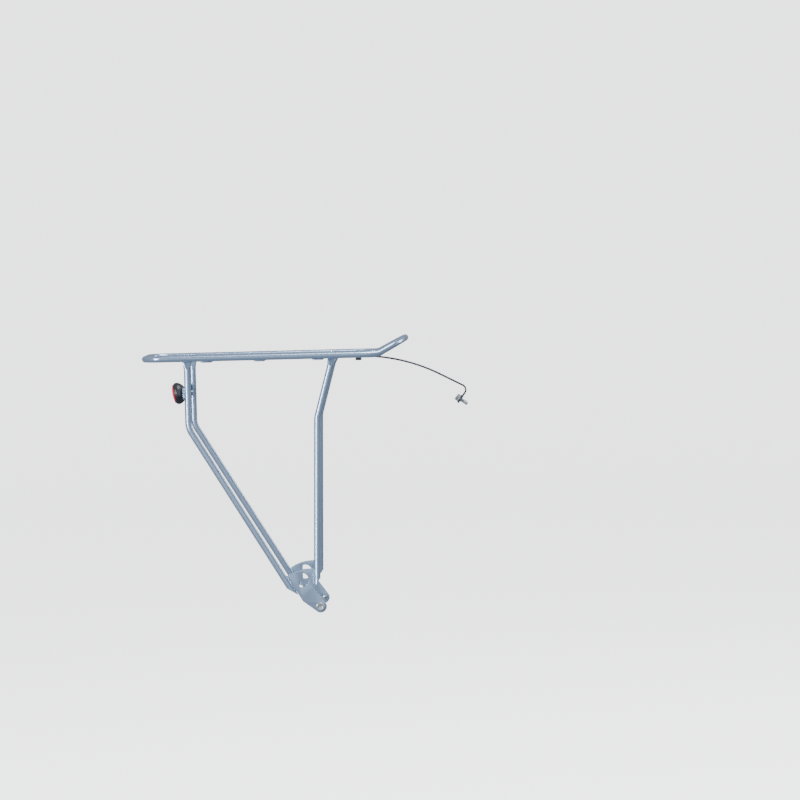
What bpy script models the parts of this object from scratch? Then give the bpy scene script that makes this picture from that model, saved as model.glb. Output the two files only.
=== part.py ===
"""Rear rack of a city bicycle, on its own: a bent tube platform on four legs, with dropout
plates at the legs' feet, a slotted front stay and a round rear reflector on a cross bar.

Metres. +X points forward, to the saddle, +Y to the bicycle's left and +Z up. The origin is
midway between the two lower bolt holes. The right side of the rack is at -Y.
"""

import math

import bmesh
import bpy
from mathutils import Vector

# Tubes and the clearance between pieces that touch
TUBE_DIAMETER = 0.0095
TUBE_SIDES_RESOLUTION = 4
GAP = 0.0003

# Platform loop: a level part, then a round front end bent upwards
DECK_HEIGHT = 0.3665
DECK_HALF_WIDTH = 0.0725
DECK_REAR = -0.2490
DECK_REAR_CORNER = 0.0270
DECK_BEND = 0.0920
DECK_BEND_ANGLE = math.radians(28.0)
DECK_BEND_RADIUS = 0.0220
DECK_FRONT_LENGTH = 0.0456

# Cross plates under the platform tubes
CROSS_PLATE_POSITIONS = {"rear": -0.1585, "middle": -0.0810, "front": 0.0045}
CROSS_PLATE_WIDTH = 0.0160
CROSS_PLATE_LENGTH = 0.1470
CROSS_PLATE_THICKNESS = 0.0015

# Dropout plates, with the bolt hole at the origin's height
PLATE_Y = 0.0760
PLATE_THICKNESS = 0.0030
PLATE_EYE_RADIUS = 0.0090
PLATE_BOLT_HOLE = 0.0066
PLATE_LOWER_EDGE_ANGLE = math.radians(-37.0)
PLATE_FRONT_EDGE_ANGLE = math.radians(-54.0)
PLATE_LOWER_CORNER = 0.0050
PLATE_TOP_CENTRE = (-0.0155, -0.0013)
PLATE_TOP_RADIUS = 0.0572
HOOK_HOLE_CENTRE = (-0.0270, 0.0393)
HOOK_HOLE_RADIUS = 0.0104
HOOK_HOLE_FLAT = -0.0302
HOOK_HOLE_CORNER = 0.0018

# Legs, drawn in X and Z, which lean inwards from the plates to the platform
LEG_TOP_Y = 0.0661
LEG_TOP = 0.3675
LEG_FOOT_MIDDLE = 0.0380
LEG_BEND_RADIUS = 0.0320
REAR_LEG_X = -0.1865
REAR_LEG_BEND = 0.2647
REAR_LEG_FOOT = (-0.0405, 0.0228)
REAR_LEG_CUT = (-0.500, -0.866)
FRONT_LEG_TOP_X = 0.0273
FRONT_LEG_BEND = (0.0018, 0.2756)
FRONT_LEG_FOOT = (-0.0042, 0.0352)
FRONT_LEG_CUT = (0.800, -0.600)
CRIMP_LENGTH = 0.0190
CRIMP_FLAT_LENGTH = 0.0055
CRIMP_THICKNESS = 0.0026

# Front stay: a flat strap with a slot at its rear end and a bolted tab at its front end
STAY_WIDTH = 0.0160
STAY_THICKNESS = 0.0025
STAY_HEIGHT = 0.3624
STAY_BOLT_X = 0.0628
STAY_SLIDE_BACK = 0.0060
STAY_SLIDE_FORWARD = 0.0100
STAY_REAR = 0.0440
STAY_ARC_START = 0.0620
STAY_ARC_RADIUS = 0.2600
STAY_ARC_ANGLE = math.radians(27.5)
STAY_STRAIGHT = 0.0466
STAY_TAB_TURN = math.radians(97.7)
STAY_TAB_BEND_RADIUS = 0.0075
STAY_TAB_LENGTH = 0.0269
STAY_TAB_HOLE = 0.0202
MOUNT_PLATE_WIDTH = 0.0180
MOUNT_PLATE_LENGTH = 0.1342
MOUNT_PLATE_THICKNESS = 0.0020

# Rear cross bar and reflector
BAR_HEIGHT = 0.0176
BAR_LENGTH = 0.1420
BAR_THICKNESS = 0.0020
BAR_Z = 0.3155
REFLECTOR_TILT = math.radians(9.6)
REFLECTOR_RADIUS = 0.0161
REFLECTOR_DEPTH = 0.0162
LENS_RADIUS = 0.0136
LENS_WALL = 0.0017
LENS_DOME = 0.0021
LENS_SEAT_DEPTH = 0.0020

# Fasteners: width across flats, head height, washer and thread sizes
M5 = {"thread": 0.0050, "flats": 0.0080, "head": 0.0035, "nut": 0.0040, "washer": 0.0100,
      "washer_thickness": 0.0010}
M6 = {"thread": 0.0060, "flats": 0.0100, "head": 0.0040, "nut": 0.0050, "washer": 0.0120,
      "washer_thickness": 0.0016}
FRAME_BOLT_LENGTH = 0.0160
STAY_BOLT_LENGTH = 0.0115
BRIDGE_BOLT_LENGTH = 0.0160
REFLECTOR_STUD_LENGTH = 0.0150

RIGHT, LEFT = -1, 1
SIDES = {"right": RIGHT, "left": LEFT}


def new_collection(name, hidden=False):
    made = bpy.data.collections.new(name)
    bpy.context.scene.collection.children.link(made)
    made.hide_render = hidden
    return made


def new_material(name, colour, roughness, metallic):
    made = bpy.data.materials.new(name)
    made.use_nodes = True
    shader = made.node_tree.nodes["Principled BSDF"]
    shader.inputs["Base Color"].default_value = (*colour, 1.0)
    shader.inputs["Roughness"].default_value = roughness
    shader.inputs["Metallic"].default_value = metallic
    return made


for leftover in list(bpy.data.objects):
    bpy.data.objects.remove(leftover, do_unlink=True)

PARTS = new_collection("rear_rack")
CUTTERS = new_collection("cutters", hidden=True)
SILVER_PAINT = new_material("silver_paint", (0.30, 0.37, 0.46), 0.35, 0.4)
ZINC = new_material("zinc", (0.62, 0.66, 0.68), 0.30, 1.0)
DARK_STEEL = new_material("dark_steel", (0.06, 0.06, 0.07), 0.45, 0.6)
BLACK_PLASTIC = new_material("black_plastic", (0.02, 0.02, 0.03), 0.30, 0.0)
RED_LENS = new_material("red_lens", (0.60, 0.02, 0.04), 0.15, 0.0)


# Outlines and routes


def arc(centre, radius, start, end, steps):
    """Points on an arc from one angle to another, in radians, both ends included."""
    angles = [start + (end - start) * step / steps for step in range(steps + 1)]
    return [
        (centre[0] + radius * math.cos(a), centre[1] + radius * math.sin(a)) for a in angles
    ]


def fillet(before, corner, after, radius, steps):
    """The arc that rounds one corner of a route."""
    corner = Vector(corner)
    into = (corner - Vector(before)).normalized()
    out = (Vector(after) - corner).normalized()
    turn = into.angle(out)
    reach = radius * math.tan(turn / 2)
    start = corner - into * reach
    inward = (out - into * out.dot(into)).normalized()
    centre = start + inward * radius
    return [
        centre + (into * math.sin(turn * s / steps) - inward * math.cos(turn * s / steps)) * radius
        for s in range(steps + 1)
    ]


def crossing(point_a, direction_a, point_b, direction_b):
    """Where two lines in a plane cross."""
    across = Vector((direction_b[1], -direction_b[0]))
    distance = (Vector(point_b) - Vector(point_a)).dot(across) / Vector(direction_a).dot(across)
    return Vector(point_a) + Vector(direction_a) * distance


def rectangle(length, width, corner, steps=4):
    """A rectangle with round corners, centred on the origin."""
    x = length / 2 - corner
    y = width / 2 - corner
    quarter = math.pi / 2
    points = []
    for index, centre in enumerate([(x, y), (-x, y), (-x, -y), (x, -y)]):
        points += arc(centre, corner, index * quarter, (index + 1) * quarter, steps)
    return points


def circle(radius, steps=24):
    return arc((0, 0), radius, 0, 2 * math.pi, steps)[:-1]


def hexagon(flats):
    return circle(flats / math.sqrt(3), 6)


# Objects


def add_object(name, data, material, collection=None):
    made = bpy.data.objects.new(name, data)
    (collection or PARTS).objects.link(made)
    data.materials.append(material)
    return made


def new_curve(name, splines, cyclic, flat):
    curve = bpy.data.curves.new(name, "CURVE")
    curve.dimensions = "2D" if flat else "3D"
    for points in splines:
        spline = curve.splines.new("POLY")
        spline.points.add(len(points) - 1)
        for point, place in zip(spline.points, points):
            point.co = (*place, *[0.0] * (3 - len(place)), 1.0)
        spline.use_cyclic_u = cyclic
    return curve


def flat_piece(name, splines, thickness, material):
    """A flat outline, with any holes in it, of one thickness, lying in its own XY plane."""
    curve = new_curve(name, splines, cyclic=True, flat=True)
    curve.fill_mode = "BOTH"
    curve.extrude = thickness / 2
    return add_object(name, curve, material)


def tube(name, route, cyclic, material):
    curve = new_curve(name, [route], cyclic, flat=False)
    curve.bevel_depth = TUBE_DIAMETER / 2
    curve.bevel_resolution = TUBE_SIDES_RESOLUTION
    curve.use_fill_caps = not cyclic
    return add_object(name, curve, material)


def as_mesh(piece):
    """The same object with its curve made a mesh, its caps welded to its sides."""
    bpy.context.view_layer.update()
    name, place, material = piece.name, piece.matrix_world.copy(), piece.data.materials[0]
    graph = bpy.context.evaluated_depsgraph_get()
    mesh = bpy.data.meshes.new_from_object(piece.evaluated_get(graph))
    bpy.data.objects.remove(piece, do_unlink=True)
    shape = bmesh.new()
    shape.from_mesh(mesh)
    bmesh.ops.remove_doubles(shape, verts=shape.verts, dist=1e-6)
    bmesh.ops.recalc_face_normals(shape, faces=shape.faces)
    shape.to_mesh(mesh)
    shape.free()
    mesh.materials.clear()
    made = add_object(name, mesh, material)
    made.matrix_world = place
    return made


def smooth(piece):
    piece.data.shade_smooth()
    piece.data.set_sharp_from_angle(angle=math.radians(35))


def stand(piece, place, axis):
    """Puts a piece at a place, with its own Z along an axis."""
    piece.location = place
    piece.rotation_euler = Vector(axis).to_track_quat("Z", "Y").to_euler()
    return piece


def stand_upright(piece, y):
    """Turns a flat piece drawn in X and Z up from its own XY plane."""
    piece.location = (0, y, 0)
    piece.rotation_euler = (math.pi / 2, 0, 0)


def cylinder(name, radius, length, segments, material, collection=None):
    """A cylinder from its own origin up along +Z."""
    mesh = bpy.data.meshes.new(name)
    shape = bmesh.new()
    bmesh.ops.create_cone(
        shape, cap_ends=True, segments=segments, radius1=radius, radius2=radius, depth=length
    )
    bmesh.ops.translate(shape, verts=shape.verts, vec=(0, 0, length / 2))
    shape.to_mesh(mesh)
    shape.free()
    return add_object(name, mesh, material, collection)


def hide(cutter):
    cutter.hide_render = True
    cutter.display_type = "WIRE"
    return cutter


def combine(piece, tool, operation):
    modifier = piece.modifiers.new(operation.lower(), "BOOLEAN")
    modifier.operation = operation
    modifier.object = hide(tool)
    modifier.solver = "EXACT"


def bolt(name, under_head, axis, size, length, material):
    """A hexagon bolt whose shank points along an axis from the underside of its head."""
    axis = Vector(axis).normalized()
    head = cylinder(name, size["flats"] / math.sqrt(3), size["head"], 6, material)
    stand(head, Vector(under_head) - axis * size["head"], axis)
    shank_length = length + size["head"] / 2
    shank = cylinder(name + "_shank", size["thread"] / 2, shank_length, 20, material, CUTTERS)
    stand(shank, Vector(under_head) - axis * size["head"] / 2, axis)
    combine(head, shank, "UNION")
    return head


def washer(name, face, axis, size):
    """A washer whose near side lies at a face and whose thickness runs along an axis."""
    axis = Vector(axis).normalized()
    rings = [circle(size["washer"] / 2), circle(size["thread"] / 2 + GAP)]
    made = flat_piece(name, rings, size["washer_thickness"], ZINC)
    return stand(made, Vector(face) + axis * size["washer_thickness"] / 2, axis)


def nut(name, face, axis, size, material):
    axis = Vector(axis).normalized()
    rings = [hexagon(size["flats"]), circle(size["thread"] / 2 + GAP)]
    made = flat_piece(name, rings, size["nut"], material)
    return stand(made, Vector(face) + axis * size["nut"] / 2, axis)


# Platform


def fold(length):
    """X and Z of a point that far along the platform, from above the origin forwards."""
    reach = DECK_BEND_RADIUS * math.tan(DECK_BEND_ANGLE / 2)
    past = length - (DECK_BEND - reach)
    if past <= 0:
        return length, DECK_HEIGHT
    angle = min(past / DECK_BEND_RADIUS, DECK_BEND_ANGLE)
    rest = past - angle * DECK_BEND_RADIUS
    x = DECK_BEND - reach + DECK_BEND_RADIUS * math.sin(angle) + rest * math.cos(angle)
    z = DECK_HEIGHT + DECK_BEND_RADIUS * (1 - math.cos(angle)) + rest * math.sin(angle)
    return x, z


def build_platform():
    front_centre = (DECK_BEND + DECK_FRONT_LENGTH - DECK_HALF_WIDTH, 0)
    plan = arc(front_centre, DECK_HALF_WIDTH, -math.pi / 2, math.pi / 2, 48)
    corner_x = DECK_REAR + DECK_REAR_CORNER
    corner_y = DECK_HALF_WIDTH - DECK_REAR_CORNER
    plan += arc((corner_x, corner_y), DECK_REAR_CORNER, math.pi / 2, math.pi, 10)
    plan += arc((corner_x, -corner_y), DECK_REAR_CORNER, math.pi, 1.5 * math.pi, 10)
    route = []
    for length, y in plan:
        x, z = fold(length)
        route.append((x, y, z))
    tube("platform_loop", route, True, SILVER_PAINT)


def build_cross_plates():
    top = DECK_HEIGHT - TUBE_DIAMETER / 2 - GAP
    outline = rectangle(CROSS_PLATE_WIDTH, CROSS_PLATE_LENGTH, 0.003)
    for name, x in CROSS_PLATE_POSITIONS.items():
        plate = flat_piece("cross_plate_" + name, [outline], CROSS_PLATE_THICKNESS, SILVER_PAINT)
        plate.location = (x, 0, top - CROSS_PLATE_THICKNESS / 2)


# Legs and dropout plates


def lean(z):
    """How far from the middle the legs' plane is at a height."""
    slope = (PLATE_Y - LEG_TOP_Y) / (LEG_TOP - LEG_FOOT_MIDDLE)
    return PLATE_Y - (z - LEG_FOOT_MIDDLE) * slope


def crimp(mesh, top, axis, normal):
    """Flattens the top end of a tube, which widens as its girth stays the same."""
    across = axis.cross(normal)
    girth_width = math.pi * TUBE_DIAMETER / 2
    for vertex in mesh.vertices:
        from_top = (top - vertex.co).dot(axis)
        rise = (CRIMP_LENGTH - from_top) / (CRIMP_LENGTH - CRIMP_FLAT_LENGTH)
        if rise <= 0:
            continue
        rise = min(rise, 1.0)
        blend = rise * rise * (3 - 2 * rise)
        thickness = TUBE_DIAMETER + (CRIMP_THICKNESS - TUBE_DIAMETER) * blend
        width = girth_width + (1 - math.pi / 2) * thickness
        offset = vertex.co - (top - axis * from_top)
        flat = offset.dot(normal) * thickness / TUBE_DIAMETER
        wide = offset.dot(across) * width / TUBE_DIAMETER
        vertex.co = top - axis * from_top + normal * flat + across * wide


def cut_foot(mesh, place, direction):
    """Cuts a leg's lower end off along a slanted plane and closes it."""
    shape = bmesh.new()
    shape.from_mesh(mesh)
    everything = shape.verts[:] + shape.edges[:] + shape.faces[:]
    cut = bmesh.ops.bisect_plane(
        shape, geom=everything, dist=1e-7, plane_co=place, plane_no=direction, clear_outer=True
    )
    edges = [item for item in cut["geom_cut"] if isinstance(item, bmesh.types.BMEdge)]
    bmesh.ops.edgeloop_fill(shape, edges=edges)
    bmesh.ops.recalc_face_normals(shape, faces=shape.faces)
    shape.to_mesh(mesh)
    shape.free()


def leg(name, side, top, bend, foot, cut_direction):
    """One leg, from its crimped top end down a bend to its slanted foot."""
    run = (Vector(foot) - Vector(bend)).normalized()
    below_foot = Vector(foot) + run * TUBE_DIAMETER
    rise = (Vector(top) - Vector(bend)).normalized()
    steps = 10
    crimp_points = [Vector(top) - rise * CRIMP_LENGTH * s / steps for s in range(steps + 1)]
    bend_points = fillet(top, bend, foot, LEG_BEND_RADIUS, 8)
    plan = crimp_points + bend_points + [below_foot]
    route = [Vector((x, side * lean(z), z)) for x, z in plan]
    made = as_mesh(tube(name, route, False, SILVER_PAINT))
    axis = (route[0] - route[steps]).normalized()
    normal = (Vector((0, 1, 0)) - axis * axis.y).normalized()
    crimp(made.data, route[0], axis, normal)
    foot_place = Vector((foot[0], side * lean(foot[1]), foot[1]))
    cut_foot(made.data, foot_place, Vector((cut_direction[0], 0, cut_direction[1])))
    smooth(made)


def build_legs():
    for side_name, side in SIDES.items():
        rear_top = (REAR_LEG_X, LEG_TOP)
        rear_bend = (REAR_LEG_X, REAR_LEG_BEND)
        leg("leg_rear_" + side_name, side, rear_top, rear_bend, REAR_LEG_FOOT, REAR_LEG_CUT)
        front_top = (FRONT_LEG_TOP_X, LEG_TOP)
        leg("leg_front_" + side_name, side, front_top, FRONT_LEG_BEND, FRONT_LEG_FOOT, FRONT_LEG_CUT)


def plate_outline():
    """The dropout plate's edge in X and Z, clockwise from the rear leg along its round top."""
    clear = TUBE_DIAMETER / 2 + GAP
    rear_run = (Vector(REAR_LEG_FOOT) - Vector((REAR_LEG_X, REAR_LEG_BEND))).normalized()
    rear_edge = Vector(REAR_LEG_FOOT) + Vector((-rear_run.y, rear_run.x)) * clear
    front_run = (Vector(FRONT_LEG_FOOT) - Vector(FRONT_LEG_BEND)).normalized()
    front_edge = Vector(FRONT_LEG_FOOT) + Vector((front_run.y, -front_run.x)) * clear
    lower = Vector((math.cos(PLATE_LOWER_EDGE_ANGLE), math.sin(PLATE_LOWER_EDGE_ANGLE)))
    front = Vector((math.cos(PLATE_FRONT_EDGE_ANGLE), math.sin(PLATE_FRONT_EDGE_ANGLE)))
    lower_touch = Vector((lower.y, -lower.x)) * PLATE_EYE_RADIUS
    front_touch = Vector((-front.y, front.x)) * PLATE_EYE_RADIUS
    top_rear = on_top_arc(rear_edge, rear_run)
    top_front = on_top_arc(front_edge, front_run)
    shoulder = crossing(front_edge, front_run, front_touch, front)
    heel = crossing(rear_edge, rear_run, lower_touch, lower)
    points = arc(PLATE_TOP_CENTRE, PLATE_TOP_RADIUS, top_angle(top_rear), top_angle(top_front), 12)
    points.append(shoulder)
    start = math.atan2(front_touch.y, front_touch.x)
    end = math.atan2(lower_touch.y, lower_touch.x)
    points += arc((0, 0), PLATE_EYE_RADIUS, start, end, 16)
    points += fillet(lower_touch, heel, top_rear, PLATE_LOWER_CORNER, 4)
    return points


def on_top_arc(point, run):
    """Where a leg's edge meets the plate's round top."""
    offset = Vector(point) - Vector(PLATE_TOP_CENTRE)
    along = offset.dot(run)
    root = math.sqrt(along * along - offset.length_squared + PLATE_TOP_RADIUS**2)
    return Vector(point) + run * (-along - root)


def top_angle(point):
    return math.atan2(point.y - PLATE_TOP_CENTRE[1], point.x - PLATE_TOP_CENTRE[0])


def hook_hole():
    """A D-shaped hole, flat at the rear, that takes a luggage strap's hook."""
    half = math.acos((HOOK_HOLE_FLAT - HOOK_HOLE_CENTRE[0]) / HOOK_HOLE_RADIUS)
    points = arc(HOOK_HOLE_CENTRE, HOOK_HOLE_RADIUS, -half, half, 24)
    inner = points[2:-2]
    upper = fillet(points[-3], points[-1], points[0], HOOK_HOLE_CORNER, 3)
    lower = fillet(points[-1], points[0], points[2], HOOK_HOLE_CORNER, 3)
    return inner + upper + lower


def build_plates():
    outlines = [plate_outline(), hook_hole(), circle(PLATE_BOLT_HOLE / 2)]
    for side_name, side in SIDES.items():
        name = "dropout_plate_" + side_name
        plate = flat_piece(name, outlines, PLATE_THICKNESS, SILVER_PAINT)
        stand_upright(plate, side * PLATE_Y)
        inward = (0, -side, 0)
        washer_face = Vector((0, side * (PLATE_Y + PLATE_THICKNESS / 2 + GAP), 0))
        washer("frame_washer_" + side_name, washer_face, (0, side, 0), M6)
        under_head = washer_face + Vector((0, side * (M6["washer_thickness"] + GAP), 0))
        bolt("frame_bolt_" + side_name, under_head, inward, M6, FRAME_BOLT_LENGTH, ZINC)


# Front stay


def stay_route():
    """The strap's centreline in X and Z, from its slotted end to the tab's end."""
    arc_centre = (STAY_ARC_START, STAY_HEIGHT - STAY_ARC_RADIUS)
    quarter = math.pi / 2
    route = [Vector((STAY_REAR, STAY_HEIGHT))]
    for point in arc(arc_centre, STAY_ARC_RADIUS, quarter, quarter - STAY_ARC_ANGLE, 16):
        route.append(Vector(point))
    ahead = Vector((math.cos(-STAY_ARC_ANGLE), math.sin(-STAY_ARC_ANGLE)))
    heading = -STAY_ARC_ANGLE - STAY_TAB_TURN
    down = Vector((math.cos(heading), math.sin(heading)))
    corner = route[-1] + ahead * STAY_STRAIGHT
    tab_end = corner + down * STAY_TAB_LENGTH
    route += fillet(route[-1], corner, tab_end, STAY_TAB_BEND_RADIUS, 8)
    route.append(tab_end)
    return route, corner, down


def offset_line(route, distance):
    """A line beside a route, to its left at a positive distance."""
    moved = []
    for index, point in enumerate(route):
        before = route[max(index - 1, 0)]
        after = route[min(index + 1, len(route) - 1)]
        into = (point - before).normalized() if index else (after - point).normalized()
        out = (after - point).normalized() if index < len(route) - 1 else into
        left_in = Vector((-into.y, into.x))
        left_out = Vector((-out.y, out.x))
        mitre = (left_in + left_out).normalized()
        moved.append(point + mitre * distance / mitre.dot(left_in))
    return moved


def build_stay():
    route, corner, down = stay_route()
    upper = offset_line(route, STAY_THICKNESS / 2)
    lower = offset_line(route, -STAY_THICKNESS / 2)
    strap = flat_piece("front_stay", [upper + lower[::-1]], STAY_WIDTH, DARK_STEEL)
    stand_upright(strap, 0)
    strap = as_mesh(strap)

    slot_width = M5["thread"] + 2 * GAP
    slot_length = STAY_SLIDE_BACK + STAY_SLIDE_FORWARD + slot_width
    slot_outline = rectangle(slot_length, slot_width, slot_width / 2 - 1e-5, 8)
    slot = as_mesh(flat_piece("stay_slot_cutter", [slot_outline], 0.02, DARK_STEEL))
    slot.location = (STAY_BOLT_X + (STAY_SLIDE_BACK - STAY_SLIDE_FORWARD) / 2, 0, STAY_HEIGHT)
    to_cutters(slot)
    combine(strap, slot, "DIFFERENCE")

    hole_at = Vector((corner.x, 0, corner.y)) + Vector((down.x, 0, down.y)) * STAY_TAB_HOLE
    forward = Vector((-down.y, 0, down.x))
    hole_radius = M6["thread"] / 2 + GAP
    hole = cylinder("bridge_hole_cutter", hole_radius, 0.02, 24, DARK_STEEL, CUTTERS)
    stand(hole, hole_at - forward * 0.01, forward)
    combine(strap, hole, "DIFFERENCE")

    washer_face = hole_at - forward * (STAY_THICKNESS / 2 + GAP)
    washer("bridge_washer", washer_face, -forward, M6)
    under_head = washer_face - forward * (M6["washer_thickness"] + GAP)
    bolt("bridge_bolt", under_head, forward, M6, BRIDGE_BOLT_LENGTH, ZINC)


def to_cutters(cutter):
    PARTS.objects.unlink(cutter)
    CUTTERS.objects.link(cutter)


def build_stay_clamp():
    """The mount plate between the platform tubes, and the bolt that clamps the strap to it."""
    axis_x = STAY_BOLT_X
    plate_bottom = STAY_HEIGHT + STAY_THICKNESS / 2 + GAP
    outlines = [
        rectangle(MOUNT_PLATE_WIDTH, MOUNT_PLATE_LENGTH, 0.001, 2),
        circle(M5["thread"] / 2 + GAP),
    ]
    plate = flat_piece("stay_mount_plate", outlines, MOUNT_PLATE_THICKNESS, SILVER_PAINT)
    plate.location = (axis_x, 0, plate_bottom + MOUNT_PLATE_THICKNESS / 2)
    washer_top = STAY_HEIGHT - STAY_THICKNESS / 2 - GAP
    washer("stay_washer", (axis_x, 0, washer_top), (0, 0, -1), M5)
    under_head = (axis_x, 0, washer_top - M5["washer_thickness"] - GAP)
    bolt("stay_bolt", under_head, (0, 0, 1), M5, STAY_BOLT_LENGTH, DARK_STEEL)
    nut_face = (axis_x, 0, plate_bottom + MOUNT_PLATE_THICKNESS + GAP)
    nut("stay_nut", nut_face, (0, 0, 1), M5, ZINC)


# Reflector


def turned(name, profile, material):
    """A solid turned round its own Z. The profile is radius and height, its outer side downwards."""
    mesh = bpy.data.meshes.new(name)
    shape = bmesh.new()
    corners = [shape.verts.new((radius, 0, height)) for radius, height in profile]
    for first, second in zip(corners, corners[1:]):
        shape.edges.new((first, second))
    shape.to_mesh(mesh)
    shape.free()
    made = add_object(name, mesh, material)
    screw = made.modifiers.new("turn", "SCREW")
    screw.axis = "Z"
    screw.steps = 32
    screw.render_steps = 32
    screw.use_merge_vertices = True
    screw.merge_threshold = 1e-6
    screw.use_smooth_shade = True
    return made


def build_bar():
    outline = rectangle(BAR_LENGTH, BAR_HEIGHT, 0.0025)
    hole = circle(M5["thread"] / 2 + GAP)
    bar = flat_piece("reflector_bar", [outline, hole], BAR_THICKNESS, SILVER_PAINT)
    front_face = REAR_LEG_X - TUBE_DIAMETER / 2 - GAP
    bar.location = (front_face - BAR_THICKNESS / 2, 0, BAR_Z)
    bar.rotation_euler = (math.pi / 2, 0, math.pi / 2)
    return front_face, front_face - BAR_THICKNESS


def build_reflector():
    """A round lens in a cup, tilted down on a straight stud through the cross bar."""
    bar_front, bar_rear = build_bar()
    rearward = Vector((-math.cos(REFLECTOR_TILT), 0, -math.sin(REFLECTOR_TILT)))
    base = Vector((bar_rear, 0, BAR_Z))
    depth = REFLECTOR_DEPTH
    seat = depth - LENS_SEAT_DEPTH - GAP
    rim = LENS_RADIUS + GAP
    cup_profile = [
        (0, 0.0070), (0.0100, 0.0070), (LENS_RADIUS - 0.0012, seat), (rim, seat), (rim, depth),
        (rim + 0.0006, depth), (0.0155, depth - 0.0014), (REFLECTOR_RADIUS, depth - 0.0038),
        (0.0160, depth - 0.0060), (0.0152, depth - 0.0082), (0.0138, depth - 0.0104),
        (0.0118, depth - 0.0126), (0.0098, depth - 0.0144), (0.0080, depth - 0.0156),
        (0.0078, -0.0030), (0, -0.0030),
    ]
    cup = turned("reflector_housing", cup_profile, BLACK_PLASTIC)
    stand(cup, base, rearward)
    trim = cylinder("reflector_trim_cutter", 0.03, 0.02, 24, BLACK_PLASTIC, CUTTERS)
    stand(trim, (bar_rear - GAP, 0, BAR_Z), (1, 0, 0))
    combine(cup, trim, "DIFFERENCE")
    socket_radius = M5["thread"] / 2 + GAP
    socket_depth = 0.0040
    socket = cylinder("reflector_socket_cutter", socket_radius, 0.02, 20, BLACK_PLASTIC, CUTTERS)
    stand(socket, (bar_rear - GAP - socket_depth, 0, BAR_Z), (1, 0, 0))
    combine(cup, socket, "DIFFERENCE")

    lens_steps = 8
    sphere = (LENS_RADIUS**2 + LENS_DOME**2) / (2 * LENS_DOME)
    lens_profile = []
    for step in range(lens_steps + 1):
        radius = LENS_RADIUS * step / lens_steps
        height = math.sqrt(sphere**2 - radius**2) - sphere + LENS_DOME
        lens_profile.append((radius, depth + LENS_WALL + height))
    lens_profile += [(LENS_RADIUS, depth - LENS_SEAT_DEPTH), (0, depth - LENS_SEAT_DEPTH)]
    lens = turned("reflector_lens", lens_profile, RED_LENS)
    stand(lens, base, rearward)

    stud_start = bar_rear - socket_depth
    stud = cylinder("reflector_stud", M5["thread"] / 2, REFLECTOR_STUD_LENGTH, 20, ZINC)
    stand(stud, (stud_start, 0, BAR_Z), (1, 0, 0))
    washer("reflector_washer", (bar_front + GAP, 0, BAR_Z), (1, 0, 0), M5)
    nut_face = bar_front + M5["washer_thickness"] + 2 * GAP
    nut("reflector_nut", (nut_face, 0, BAR_Z), (1, 0, 0), M5, ZINC)


def pivot(name, place, children):
    """An empty on a joint's axis, which carries the pieces that move on it."""
    empty = bpy.data.objects.new(name, None)
    PARTS.objects.link(empty)
    empty.location = place
    bpy.context.view_layer.update()
    for child_name in children:
        child = bpy.data.objects[child_name]
        child.parent = empty
        child.matrix_parent_inverse = empty.matrix_world.inverted()
    return empty


build_platform()
build_cross_plates()
build_legs()
build_plates()
build_stay()
build_stay_clamp()
build_reflector()
swivel_place = (STAY_BOLT_X, 0, STAY_HEIGHT)
swivel = pivot("stay_swivel_axis", swivel_place, ["stay_bolt", "stay_washer", "stay_nut"])
slide = pivot("stay_slide_axis", swivel_place, ["front_stay", "bridge_bolt", "bridge_washer"])
slide.parent = swivel
slide.matrix_parent_inverse = swivel.matrix_world.inverted()
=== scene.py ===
"""Looks of the rear rack: finer meshes for every piece, weld beads, paint, studio and camera."""

import math

import bmesh
import bpy
from mathutils import Euler, Matrix, Vector


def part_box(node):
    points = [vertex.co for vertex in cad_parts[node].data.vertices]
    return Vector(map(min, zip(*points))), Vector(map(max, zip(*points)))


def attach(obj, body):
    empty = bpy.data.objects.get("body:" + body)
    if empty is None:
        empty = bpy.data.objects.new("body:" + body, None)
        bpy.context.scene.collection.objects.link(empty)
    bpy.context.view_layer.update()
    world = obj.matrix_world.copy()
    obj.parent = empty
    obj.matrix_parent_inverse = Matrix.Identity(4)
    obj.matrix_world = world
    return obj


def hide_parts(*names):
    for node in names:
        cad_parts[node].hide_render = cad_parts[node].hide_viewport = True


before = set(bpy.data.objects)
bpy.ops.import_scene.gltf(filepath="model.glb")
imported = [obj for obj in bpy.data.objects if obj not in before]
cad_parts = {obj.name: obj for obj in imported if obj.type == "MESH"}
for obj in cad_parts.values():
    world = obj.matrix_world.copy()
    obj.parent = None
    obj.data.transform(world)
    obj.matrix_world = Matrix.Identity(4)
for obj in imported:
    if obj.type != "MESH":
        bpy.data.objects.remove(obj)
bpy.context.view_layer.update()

MM = 0.001
GAP = 0.3 * MM
TUBE = 9.5 * MM
SIDES = {"right": -1, "left": 1}

# Platform loop, as in the CAD model
DECK_HEIGHT = 366.5 * MM
DECK_HALF_WIDTH = 72.5 * MM
DECK_REAR = -249.0 * MM
DECK_REAR_CORNER = 27.0 * MM
DECK_BEND = 92.0 * MM
DECK_BEND_ANGLE = math.radians(28.0)
DECK_BEND_RADIUS = 22.0 * MM
DECK_FRONT_LENGTH = 45.6 * MM

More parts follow.
